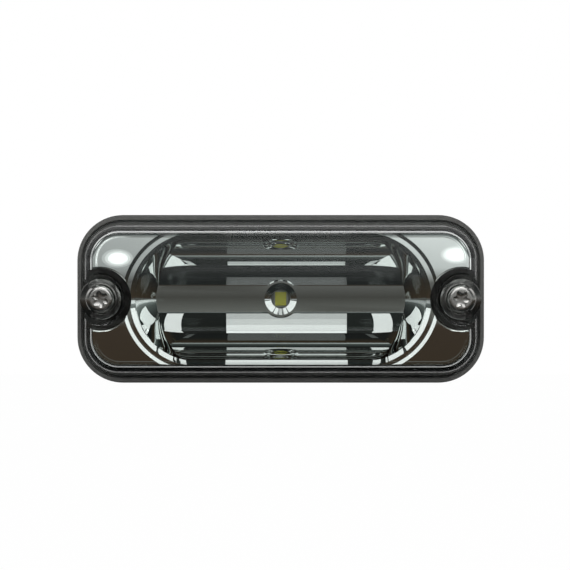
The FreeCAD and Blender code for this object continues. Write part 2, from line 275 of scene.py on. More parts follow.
def combine(block: Mesh, tools: Iterable[tuple[Mesh, Solver]]) -> Mesh:
    """Cuts, joins or intersects a block with other blocks, one after another.

    Args:
        block: Mesh to work on, which is freed.
        tools: Meshes with how each acts, which are freed.

    Returns:
        A new mesh with the result.
    """
    body = as_object(block, "work")
    for number, (tool, solver) in enumerate(tools):
        cutter = as_object(tool, f"tool_{number}")
        step = body.modifiers.new("step", "BOOLEAN")
        step.operation = solver.value
        step.solver = "EXACT"
        step.object = cutter
        bpy.context.view_layer.update()
        state = bpy.context.evaluated_depsgraph_get()
        done = bpy.data.meshes.new_from_object(body.evaluated_get(state))
        body.modifiers.clear()
        old, body.data = body.data, done
        bpy.data.meshes.remove(old)
        drop(cutter)
    result = bmesh.new()
    result.from_mesh(body.data)
    drop(body)
    bmesh.ops.remove_doubles(result, verts=result.verts, dist=MERGE)
    bmesh.ops.dissolve_degenerate(result, dist=MERGE, edges=result.edges)
    return result


def copied(node: str) -> Mesh:
    """Merged copy of a frame node's mesh, with its flat areas made whole faces.

    Args:
        node: Name of the node.

    Returns:
        A new mesh.
    """
    bm = bmesh.new()
    bm.from_mesh(frame["nodes"][node].data)
    bmesh.ops.remove_doubles(bm, verts=bm.verts, dist=MERGE_FRAME)
    bmesh.ops.dissolve_limit(bm, angle_limit=math.radians(FLAT), use_dissolve_boundaries=False,
                             verts=bm.verts, edges=bm.edges, delimit=set())
    return bm


@dataclass(frozen=True)
class Edges:
    """How the edges of a piece are rounded and its corners welded, in millimetres and degrees."""

    soften: float
    segments: int = 2
    crease: float = 30.0
    weld: float = 0.0


def finished(bm: Mesh, name: str, material: Material, node: str,
             edges: Edges) -> Thing:
    """Object made from a mesh, with soft edges, its material, and its place on the frame.

    Args:
        bm: Mesh of the piece, which is freed.
        name: Name of the piece.
        material: Material of the whole piece.
        node: Frame node that the piece stands for.
        edges: How its edges are rounded.

    Returns:
        The finished object.
    """
    obj = as_object(bm, name)
    sharp = math.radians(edges.crease)
    obj.data.shade_smooth()
    obj.data.set_sharp_from_angle(angle=sharp)
    obj.data.materials.append(material)
    bevel = obj.modifiers.new("soft_edges", "BEVEL")
    bevel.width = edges.soften * MM
    bevel.segments = edges.segments
    bevel.limit_method = "ANGLE"
    bevel.angle_limit = sharp
    bevel.use_clamp_overlap = True
    if edges.weld > 0:
        merged = obj.modifiers.new("no_slivers", "WELD")
        merged.merge_threshold = edges.weld * MM
    normals = obj.modifiers.new("flat_faces", "WEIGHTED_NORMAL")
    normals.keep_sharp = True
    normals.weight = FLAT_WEIGHT
    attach(obj, BODY)
    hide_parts(node)
    log.info("%s: %d faces", name, len(obj.data.polygons))
    return obj


# Finishes


class Graph:
    """A small wrapper that places nodes and links in one node tree."""

    def __init__(self, tree: Tree) -> None:
        """Keeps the tree."""
        self.tree = tree

    @staticmethod
    def preset(node: Node, **values: object) -> Node:
        """Sets attributes or input values of a node.

        Args:
            node: Node to set.
            **values: Attributes, or inputs by name with underscores for blanks.

        Returns:
            The same node.
        """
        for name, value in values.items():
            if hasattr(node, name):
                setattr(node, name, value)
            else:
                node.inputs[name.replace("_", " ")].default_value = value
        return node

    def node(self, kind: str, **values: object) -> Node:
        """New node with attributes or input values set."""
        return self.preset(self.tree.nodes.new(kind), **values)

    def link(self, output: Socket, target: Socket) -> None:
        """Links two sockets."""
        self.tree.links.new(output, target)

    def place(self, kind: str) -> Socket:
        """Texture coordinates of one kind."""
        return self.node("ShaderNodeTexCoord").outputs[kind]

    def split(self, vector: Socket) -> bpy.types.NodeOutputs:
        """The three parts of a vector, by axis name.

        Args:
            vector: Vector to take apart.

        Returns:
            Sockets X, Y and Z.
        """
        made = self.node("ShaderNodeSeparateXYZ")
        self.link(vector, made.inputs[0])
        return made.outputs

    def math(self, operation: str, *values: Socket | float, clamp: bool = False) -> Socket:
        """Math node on sockets or numbers.

        Args:
            operation: Name of the operation.
            *values: Sockets or numbers it works on.
            clamp: Whether the result stays within 0 and 1.

        Returns:
            The result's socket.
        """
        made = self.node("ShaderNodeMath", operation=operation, use_clamp=clamp)
        for target, value in zip(made.inputs, values):
            if isinstance(value, Socket):
                self.link(value, target)
            else:
                target.default_value = value
        return made.outputs[0]

    def span(self, value: Socket, source: tuple[float, float],
             target: tuple[float, float] = (0.0, 1.0)) -> Socket:
        """Value mapped from one range onto another, and kept inside it.

        Args:
            value: Value to map.
            source: Ends of the range it comes from.
            target: Ends of the range it goes to.

        Returns:
            The mapped value.
        """
        made = self.node("ShaderNodeMapRange", From_Min=source[0], From_Max=source[1],
                         To_Min=target[0], To_Max=target[1])
        self.link(value, made.inputs["Value"])
        return made.outputs["Result"]

    def mix(self, share: Socket, first: Socket | Colour, second: Socket | Colour,
            blend: str = "MIX") -> Socket:
        """Mix of two colours.

        Args:
            share: How much of the second colour there is.
            first: Socket or colour.
            second: Socket or colour.
            blend: How the second acts on the first.

        Returns:
            The mixed colour.
        """
        made = self.node("ShaderNodeMix", data_type="RGBA", blend_type=blend)
        self.link(share, made.inputs["Factor"])
        for place, value in ((MIX_FIRST, first), (MIX_SECOND, second)):
            if isinstance(value, Socket):
                self.link(value, made.inputs[place])
            else:
                made.inputs[place].default_value = (*value, 1)
        return made.outputs[MIX_RESULT]

    def surface(self, share: Socket, first: Node, second: Node) -> None:
        """Gives a material a mix of two shaders.

        Args:
            share: How much of the second shader there is.
            first: One shader.
            second: The other shader.
        """
        made = self.node("ShaderNodeMixShader")
        for source, target in zip((share, first.outputs[0], second.outputs[0]), made.inputs):
            self.link(source, target)
        self.link(made.outputs[0], self.tree.nodes["Material Output"].inputs["Surface"])

    def ramp(self, source: Socket, stops: Sequence[tuple[float, Colour]]) -> Socket:
        """Colour ramp on a value.

        Args:
            source: Value that goes through the ramp.
            stops: Places with their colours.

        Returns:
            The ramp's colour socket.
        """
        made = self.node("ShaderNodeValToRGB")
        elements = made.color_ramp.elements
        while len(elements) < len(stops):
            elements.new(0.5)
        for element, (place, colour) in zip(elements, stops):
            element.position = place
            element.color = (*colour, 1)
        self.link(source, made.inputs["Fac"])
        return made.outputs["Color"]


def new_material(name: str) -> tuple[Material, Graph, Node]:
    """Material with its plain shader.

    Args:
        name: Name of the material.

    Returns:
        The material, its graph and its shader.
    """
    material = bpy.data.materials.new(name)
    material.use_nodes = True
    return material, Graph(material.node_tree), material.node_tree.nodes["Principled BSDF"]


@dataclass(frozen=True)
class Group:
    """A shader node group that gives out colours, masks or values."""

    name: str

    def start(self, inputs: dict[str, str], outputs: dict[str, str]
              ) -> tuple[Graph, bpy.types.NodeOutputs, bpy.types.NodeInputs]:
        """New group with named sockets.

        Args:
            inputs: Kind of each input by name.
            outputs: Kind of each output by name.

        Returns:
            The group's graph, what comes in and what goes out.
        """
        tree = bpy.data.node_groups.new(self.name, "ShaderNodeTree")
        for way, sockets in (("INPUT", inputs), ("OUTPUT", outputs)):
            for label, kind in sockets.items():
                tree.interface.new_socket(label, in_out=way, socket_type=f"NodeSocket{kind}")
        graph = Graph(tree)
        taken = graph.node("NodeGroupInput").outputs
        return graph, taken, graph.node("NodeGroupOutput").inputs


@dataclass(frozen=True)
class SpeckleGroup(Group):
    """Mottles a colour and a roughness at two scales, with a height for a bump."""

    name: str = "speckle"
    wide_scale: float = 0.12
    fine_share: float = 0.45
    wide_share: float = 0.55
    contrast: float = 2.2
    offset: float = -0.6

    def build(self) -> Tree:
        """Group with its nodes.

        Returns:
            The group's tree.
        """
        graph, taken, given = self.start(
            {"Scale": "Float", "Dark": "Color", "Light": "Color", "Rough Low": "Float",
             "Rough High": "Float"},
            {"Color": "Color", "Roughness": "Float", "Height": "Float"})
        place = graph.place("Object")
        fine = graph.node("ShaderNodeTexNoise", Detail=3.0, Roughness=0.55)
        wide = graph.node("ShaderNodeTexNoise", Detail=2.0)
        for texture, share in ((fine, 1.0), (wide, self.wide_scale)):
            graph.link(place, texture.inputs["Vector"])
            graph.link(graph.math("MULTIPLY", taken["Scale"], share), texture.inputs["Scale"])
        both = graph.math("ADD", graph.math("MULTIPLY", fine.outputs["Fac"], self.fine_share),
                          graph.math("MULTIPLY", wide.outputs["Fac"], self.wide_share))
        spread = graph.math("MULTIPLY_ADD", both, self.contrast, self.offset, clamp=True)
        graph.link(graph.mix(spread, taken["Dark"], taken["Light"]), given["Color"])
        rough = graph.node("ShaderNodeMapRange")
        graph.link(spread, rough.inputs["Value"])
        graph.link(taken["Rough Low"], rough.inputs["To Min"])
        graph.link(taken["Rough High"], rough.inputs["To Max"])
        graph.link(rough.outputs["Result"], given["Roughness"])
        graph.link(fine.outputs["Fac"], given["Height"])
        return graph.tree


@dataclass(frozen=True)
class EdgeRubGroup(Group):
    """Brings out rubbed edges from how sharply the surface bends."""

    name: str = "edge_rub"
    bend: tuple[float, float] = (0.52, 0.62)
    scale: float = 420.0

    def build(self) -> Tree:
        """Group with its nodes.

        Returns:
            The group's tree.
        """
        graph, taken, given = self.start({"Strength": "Float"}, {"Mask": "Float"})
        geometry = graph.node("ShaderNodeNewGeometry")
        sharp = graph.span(geometry.outputs["Pointiness"], self.bend)
        broken = graph.node("ShaderNodeTexNoise", Scale=self.scale, Detail=4.0)
        graph.link(graph.place("Object"), broken.inputs["Vector"])
        mask = graph.math("MULTIPLY", sharp, broken.outputs["Fac"])
        graph.link(graph.math("MULTIPLY", mask, taken["Strength"], clamp=True), given["Mask"])
        return graph.tree


@dataclass(frozen=True)
class Finish:
    """An opaque finish: two close colours and roughnesses, with a grain between them."""

    name: str
    dark: Colour
    light: Colour
    rough: tuple[float, float]
    scale: float
    metallic: float = 0.0
    bump: float = 0.1
    bump_depth: float = 0.02
    specular: float = 0.5
    rub: float = 0.0
    rub_colour: Colour = (0.2, 0.2, 0.2)
    coat: float = 0.0

    def build(self, groups: dict[str, Tree]) -> Material:
        """Material with this finish.

        Args:
            groups: Shared shader groups by name.

        Returns:
            The material.
        """
        material, graph, shader = new_material(self.name)
        graph.preset(shader, Metallic=self.metallic, Specular_IOR_Level=self.specular,
                     Coat_Weight=self.coat)
        grain = graph.node("ShaderNodeGroup", node_tree=groups["speckle"], Scale=self.scale,
                           Dark=(*self.dark, 1), Light=(*self.light, 1),
                           Rough_Low=self.rough[0], Rough_High=self.rough[1])
        colour = self.tinted(graph, grain.outputs["Color"])
        if self.rub > 0:
            rubbed = graph.node("ShaderNodeGroup", node_tree=groups["edge_rub"],
                                Strength=self.rub)
            colour = graph.mix(rubbed.outputs["Mask"], colour, self.rub_colour)
        graph.link(colour, shader.inputs["Base Color"])
        graph.link(grain.outputs["Roughness"], shader.inputs["Roughness"])
        bump = graph.node("ShaderNodeBump", Strength=self.bump, Distance=self.bump_depth * MM)
        graph.link(grain.outputs["Height"], bump.inputs["Height"])
        graph.link(bump.outputs["Normal"], shader.inputs["Normal"])
        return material

    def tinted(self, graph: Graph, colour: Socket) -> Socket:
        """Colour of the grain as it is."""
        return colour


@dataclass(frozen=True)
class CollarShadeFinish(Finish):
    """Plated finish with painted shade on the collars round the two screw heads, standing in for
    their dark reflection.
    """

    axis_x: float = 56.5
    inner: float = 4.75
    blend: float = 0.3
    head_back: float = 11.5
    collar_shade_share: float = 0.40

    def tinted(self, graph: Graph, colour: Socket) -> Socket:
        """Colour of the grain, with painted shade on the collars outside the heads' domes.

        Args:
            graph: Graph of the material.
            colour: Colour of the grain.

        Returns:
            The colour with its painted shade.
        """
        parts = graph.split(graph.place("Object"))
        across = graph.math("SUBTRACT", graph.math("ABSOLUTE", parts["X"]), self.axis_x * MM)
        square = graph.math("ADD", graph.math("MULTIPLY", across, across),
                            graph.math("MULTIPLY", parts["Z"], parts["Z"]))
        ring = graph.span(graph.math("SQRT", square),
                          (self.inner * MM, (self.inner + self.blend) * MM))
        ahead = graph.math("LESS_THAN", parts["Y"], -self.head_back * MM)
        # Painted shade: a darker copy of the plated colour on the collars, in place of their dark
        # reflection.
        painted_collar_shade = tuple(self.collar_shade_share * c for c in self.light)
        return graph.mix(graph.math("MULTIPLY", ring, ahead), colour, painted_collar_shade)


@dataclass(frozen=True)
class ClearFinish:
    """Clear moulded plastic that lets light through to what is behind it."""

    name: str
    tint: Colour = (0.93, 0.955, 0.945)
    index: float = 1.36
    clearness: float = 1.0
    rough: tuple[float, float] = (0.0, 0.0035)
    scale: float = 160.0
    streak: float = 0.985
    shadow: float = 0.95

    def build(self, groups: dict[str, Tree]) -> Material:
        """Material with this finish.

        Args:
            groups: Shared shader groups by name.

        Returns:
            The material.
        """
        material, graph, shader = new_material(self.name)
        graph.preset(shader, IOR=self.index, Transmission_Weight=self.clearness)
        grain = graph.node("ShaderNodeGroup", node_tree=groups["speckle"], Scale=self.scale,
                           Dark=(*(self.streak * c for c in self.tint), 1),
                           Light=(*self.tint, 1),
                           Rough_Low=self.rough[0], Rough_High=self.rough[1])
        graph.link(grain.outputs["Color"], shader.inputs["Base Color"])
        graph.link(grain.outputs["Roughness"], shader.inputs["Roughness"])
        path = graph.node("ShaderNodeLightPath")
        through = graph.node("ShaderNodeBsdfTransparent")
        through.inputs["Color"].default_value = (*(self.shadow * c for c in self.tint), 1)
        graph.surface(path.outputs["Is Shadow Ray"], shader, through)
        return material


class Finishes:
    """Every material of the light, built once."""

    OPAQUE = (
        Finish("bright_metallised", (0.80, 0.825, 0.815), (0.86, 0.88, 0.87), (0.001, 0.0035), 60.0,
               metallic=1.0, bump=0.02, bump_depth=0.01),
        Finish("black_plastic", (0.046, 0.046, 0.044), (0.082, 0.082, 0.078), (0.34, 0.48), 2600.0,
               bump=0.35, rub=0.5, rub_colour=(0.09, 0.09, 0.088)),
        Finish("black_rubber", (0.008, 0.008, 0.008), (0.020, 0.020, 0.020), (0.62, 0.85), 1500.0,
               bump=0.4, bump_depth=0.03, specular=0.3),
        Finish("grey_rubber", (0.03, 0.03, 0.03), (0.06, 0.06, 0.06), (0.6, 0.8), 1500.0,
               bump=0.4, specular=0.3),
        # Screws: plated, with painted shade on the collars round the heads.
        CollarShadeFinish("screw_plated", (0.52, 0.515, 0.50), (0.68, 0.67, 0.65), (0.16, 0.28), 900.0,
                     metallic=1.0, bump=0.12, bump_depth=0.01, rub=0.5,
                     rub_colour=(0.8, 0.79, 0.77)),
        Finish("sleeve_plated", (0.45, 0.44, 0.41), (0.60, 0.59, 0.55), (0.25, 0.4), 800.0,
               metallic=1.0),
        Finish("board_mask", (0.60, 0.60, 0.58), (0.74, 0.74, 0.72), (0.3, 0.45), 1400.0),
        Finish("chip_ceramic", (0.42, 0.43, 0.40), (0.56, 0.56, 0.52), (0.35, 0.5), 2500.0),
        Finish("chip_phosphor", (0.55, 0.53, 0.07), (0.72, 0.70, 0.14), (0.3, 0.45), 3000.0,
               coat=0.3),
        Finish("component_black", (0.012, 0.012, 0.012), (0.03, 0.03, 0.03), (0.4, 0.6), 3000.0),
        Finish("capacitor_tan", (0.36, 0.25, 0.15), (0.48, 0.36, 0.24), (0.4, 0.55), 3000.0),
        Finish("contact_tinned", (0.58, 0.57, 0.53), (0.74, 0.73, 0.69), (0.2, 0.35), 1200.0,
               metallic=1.0, bump_depth=0.01),
        Finish("vent_felt", (0.62, 0.62, 0.60), (0.80, 0.80, 0.78), (0.8, 0.95), 6000.0, bump=0.6),
    )

    def __init__(self) -> None:
        """Builds the shared groups and the materials."""
        groups = {group.name: group.build() for group in (SpeckleGroup(), EdgeRubGroup())}
        self.clear = ClearFinish("clear_plastic").build(groups)
        self.opaque = {finish.name: finish.build(groups) for finish in self.OPAQUE}

    def __getitem__(self, name: str) -> Material:
        """Opaque material by name."""
        return self.opaque[name]


# Sub-assemblies, in millimetres, with levels in front of the panel


@dataclass
class CoverShape:
    """Drafted outline that the cover and the reflector share."""

    half_x: float = 63.1
    half_z: float = 24.9
    corner: float = 12.7
    draw: float = 2.6
    foot: float = 5.0
    front: float = 19.0
    wall: float = 2.0

    def ring(self, bm: Mesh, level: float, inset: float, drop_by: float = 0.0) -> list[Edge]:
        """Ring of the drafted outline.

        Args:
            bm: Mesh that takes the ring.
            level: Level at which the draft is taken.
            inset: Distance inside the outer skin.
            drop_by: Distance that the ring lies behind that level.

        Returns:
            The ring's edges.
        """
        inward = inset + self.draw * (level - self.foot) / (self.front - self.foot)
        sizes = ((size - inward) * MM for size in (self.half_x, self.half_z, self.corner))
        return rounded_ring(bm, *sizes, -(level - drop_by) * MM)

    def block(self, inset: float, back: float, front: float, rounding: float) -> Mesh:
        """Drafted block with a rounded front edge.

        Args:
            inset: Distance inside the outer skin.
            back: Level of its back face.
            front: Level of its front face.
            rounding: Radius of its front edge.

        Returns:
            A new mesh.
        """
        bm = bmesh.new()
        rings = [self.ring(bm, back, inset)]
        for step in range(EDGE_STEPS + 1):
            turn = QUARTER * step / EDGE_STEPS
            level = front - rounding * (1 - math.sin(turn))
            rings.append(self.ring(bm, level, inset + rounding * (1 - math.cos(turn))))
        return close_rings(bm, rings)


@dataclass
class WellShape:
    """Screw wells at both ends of the cover."""

    screw_x: float = 56.5
    radius: float = 7.6
    wall: float = 1.9
    floor: float = 11.0
    sleeve_hole: float = 4.3
    notch_gap: float = 0.3


@dataclass
class LensCover:
    """Clear cover with a well at each end that is open to the side."""

    finishes: Finishes
    outline: CoverShape = field(default_factory=CoverShape)
    well: WellShape = field(default_factory=WellShape)
    front_round: float = 3.0
    inner_round: float = 1.2
    foot_width: float = 3.2
    foot_height: float = 2.0
    foot_overlap: float = 0.2
    mouth_round: float = 1.0

    def throat(self) -> Mesh:
        """Opening inside the cover's foot.

        Returns:
            A new mesh.
        """
        shape = self.outline
        bm = bmesh.new()
        sizes = [(size - self.foot_width) * MM
                 for size in (shape.half_x, shape.half_z, shape.corner)]
        levels = (shape.foot - PAST, shape.foot + self.foot_height + self.foot_overlap)
        return close_rings(bm, [rounded_ring(bm, *sizes, -level * MM) for level in levels])

    def cavity(self) -> Mesh:
        """Hollow inside the cover, with a place left for each well.

        Returns:
            A new mesh.
        """
        shape = self.outline
        hollow = shape.block(shape.wall, shape.foot + self.foot_height, shape.front - shape.wall,
                             self.inner_round)
        steps = [(self.throat(), Solver.JOIN)]
        for side in Side:
            tube = post(self.well.radius + self.well.wall, side.value * self.well.screw_x,
                        0.0, shape.front + 2 * PAST)
            steps.append((tube, Solver.CUT))
        return combine(hollow, steps)

    def build(self) -> Thing:
        """Finished cover.

        Returns:
            The finished object.
        """
        shape = self.outline
        block = shape.block(0, shape.foot, shape.front, self.front_round)
        steps = [(self.cavity(), Solver.CUT)]
        for side in Side:
            x = side.value * self.well.screw_x
            steps.append((flared(self.well.radius, self.mouth_round, x, self.well.floor,
                                 shape.front), Solver.CUT))
            steps.append((post(self.well.sleeve_hole, x, shape.foot - PAST,
                               self.well.floor + PAST), Solver.CUT))
        return finished(combine(block, steps), "lens_cover_clear", self.finishes.clear,
                        "lens_cover", Edges(soften=0.22, crease=28))


@dataclass
class BowlShape:
    """Trough bowl of the reflector."""

    radius: float = 19.3
    axis: float = 17.5
    strip: float = -1.335
    end_x: float = 26.39
    end_top: float = 19.41
    end_bottom: float = 13.61
    rim: float = 14.8
    arc_steps: int = 40
    run_cuts: int = 23
    wall_steps: int = 44

    def end_arc(self) -> tuple[float, float]:
        """Centre and radius of the arc that the end wall's profile follows.

        Returns:
            Distance of the arc's centre from the end's axis, and the arc's radius.
        """
        top_sum = self.end_top ** 2 + (self.axis - self.rim) ** 2
        bottom_sum = self.end_bottom ** 2 + (self.axis - self.strip) ** 2
        centre = (top_sum - bottom_sum) / (2 * (self.end_top - self.end_bottom))
        return centre, math.hypot(self.end_top - centre, self.axis - self.rim)

    def ring(self, bm: Mesh, level: float, offset: float) -> list[Edge]:
        """Closed ring of edges where the bowl's wall passes one level.

        Args:
            bm: Mesh that takes the ring.
            level: Level of the ring.
            offset: Distance outside the bright wall.

        Returns:
            The ring's edges.
        """
        half = math.sqrt((self.radius + offset) ** 2 - (self.axis - level) ** 2)
        centre, arc = self.end_arc()
        end = centre + math.sqrt((arc + offset) ** 2 - (self.axis - level) ** 2)
        turn = math.asin(min(1.0, half / end))
        known = set(bm.edges)
        tips = []
        for side in Side:
            axis_x = side.value * self.end_x * MM
            first = bm.verts.new((axis_x + side.value * end * math.cos(turn) * MM, -level * MM,
                                  -side.value * half * MM))
            made = bmesh.ops.spin(bm, geom=[first], cent=(axis_x, -level * MM, 0),
                                  axis=(0, -1, 0), angle=2 * turn, steps=self.arc_steps)
            last = [v for v in made["geom_last"] if isinstance(v, Vert)][0]
            tips.append((first, last))
        (left_first, left_last), (right_first, right_last) = tips
        runs = [bm.edges.new((left_last, right_first)), bm.edges.new((right_last, left_first))]
        bmesh.ops.subdivide_edges(bm, edges=runs, cuts=self.run_cuts)
        return [e for e in bm.edges if e not in known]

    def block(self, offset: float, front: float, flare: float = 0.0, slope: float = 1.0) -> Mesh:
        """Solid that fills the bowl.

        Args:
            offset: Distance outside the bright wall.
            front: Level of its open face.
            flare: Width of the chamfer round the rim, or 0 for none.
            slope: Depth of that chamfer over its width.

        Returns:
            A new mesh.
        """
        bm = bmesh.new()
        radius = self.radius + offset
        edge = self.rim + CLEAR_CUT
        top = edge - flare * slope if flare > 0 else front
        low = math.acos((self.axis - self.strip + offset) / radius)
        high = math.acos((self.axis - top) / radius)
        rings = []
        for step in range(self.wall_steps + 1):
            turn = low + (high - low) * step / self.wall_steps
            rings.append(self.ring(bm, self.axis - radius * math.cos(turn), offset))
        if flare > 0:
            rings += [self.ring(bm, level, offset + flare) for level in (edge, front)]
        return close_rings(bm, rings)


@dataclass
class Reflector:
    """Bright reflector: plates, stepped rim, trough bowl, light cup and skirt."""

    finishes: Finishes
    outline: CoverShape = field(default_factory=CoverShape)
    well: WellShape = field(default_factory=WellShape)
    bowl: BowlShape = field(default_factory=BowlShape)
    front: float = 15.6
    inset: float = 2.4
    skirt_wall: float = 1.4
    plate: float = 1.8
    ledge: float = 0.8
    ledge_end_x: float = 26.6
    ledge_radius: float = 22.0
    ledge_steps: int = 32
    ledge_corner: float = 0.9999
    bowl_wall: float = 1.8
    bowl_past: float = 0.5
    cup_mouth: float = 5.2
    cup_throat: float = 3.1
    cup_slope: float = 0.45
    cup_lip: float = 0.6
    cup_lip_height: float = 1.0
    cup_back: float = -3.435
    cup_past: float = 0.1
    cup_wall: float = 1.4
    rim_chamfer: float = 1.4
    ledge_chamfer: float = 1.1
    chamfer_slope: float = 0.58
    notch_chamfer: float = 0.45
    overlap: float = 0.6

    def slab(self, inset: float, back: float, front: float) -> Mesh:
        """Straight block on the reflector's outline, inset by a wall.

        Args:
            inset: Distance inside the outline.
            back: Level of its back face.
            front: Level of its front face.

        Returns:
            A new mesh.
        """
        bm = bmesh.new()
        inset += self.inset
        return close_rings(bm, [self.outline.ring(bm, self.front, inset, self.front - level)
                                for level in (back, front)])

    def ledge_block(self) -> Mesh:
        """Stadium with a chamfered edge that is cut out round the rim of the bowl.

        Returns:
            A new mesh.
        """
        bm = bmesh.new()
        edge = self.front + CLEAR_CUT
        rings = []
        for level, wider in ((self.front - self.ledge, 0.0),
                             (edge - self.ledge_chamfer * self.chamfer_slope, 0.0),
                             (edge, self.ledge_chamfer),
                             (self.front + OVERSHOOT, self.ledge_chamfer)):
            radius = (self.ledge_radius + wider) * MM
            # A corner just short of the half height keeps the points of both corners apart.
            rings.append(rounded_ring(bm, self.ledge_end_x * MM + radius, radius,
                                      radius * self.ledge_corner, -level * MM, self.ledge_steps))
        return close_rings(bm, rings)

    def cup(self, lip_top: float) -> Mesh:
        """Hollow of the dished cup round the light chip.

        Args:
            lip_top: Level of the cup's lip.

        Returns:
            A new mesh.
        """
        back = self.cup_back - self.cup_past
        dish = lip_top - (self.cup_mouth - self.cup_throat) * self.cup_slope
        return turned([(0, back), (self.cup_throat, back), (self.cup_throat, dish),
                       (self.cup_mouth, lip_top + CLEAR_CUT),
                       (self.cup_mouth, lip_top + OVERSHOOT), (0, lip_top + OVERSHOOT)])

    def build(self) -> Thing:
        """Finished reflector.

        Returns:
            The finished object.
        """
        strip_back = self.bowl.strip - self.bowl_wall
        joint = strip_back + self.overlap
        lip_top = self.bowl.strip + self.cup_lip_height
        outer = combine(self.bowl.block(self.bowl_wall, self.front - self.overlap),
                        [(self.slab(self.overlap / 3, strip_back - PAST, self.front + PAST),
                          Solver.KEEP)])
        hollow = combine(
            self.slab(self.skirt_wall, self.outline.foot - PAST, self.front - self.plate),
            [(self.bowl.block(self.bowl_wall - self.overlap / 6, self.front), Solver.CUT)])
        trough = self.bowl.block(0, self.front + self.bowl_past, self.rim_chamfer,
                                 self.chamfer_slope)
        steps = [
            (hollow, Solver.CUT),
            (outer, Solver.JOIN),
            (post(self.cup_throat + self.cup_wall, 0, self.cup_back, joint), Solver.JOIN),
            (trough, Solver.CUT),
            (self.ledge_block(), Solver.CUT),
            (post(self.cup_mouth + self.cup_lip, 0, joint, lip_top), Solver.JOIN),
            (self.cup(lip_top), Solver.CUT),
        ]
        notch = self.well.radius + self.well.wall + self.well.notch_gap
        for side in Side:
            steps.append((flared(notch, self.notch_chamfer, side.value * self.well.screw_x, 0.0,
                                 self.front, steps=1), Solver.CUT))
        body = combine(self.slab(0, self.outline.foot, self.front), steps)
        return finished(body, "reflector_bright", self.finishes["bright_metallised"],
                        "reflector", Edges(soften=0.1, crease=24))


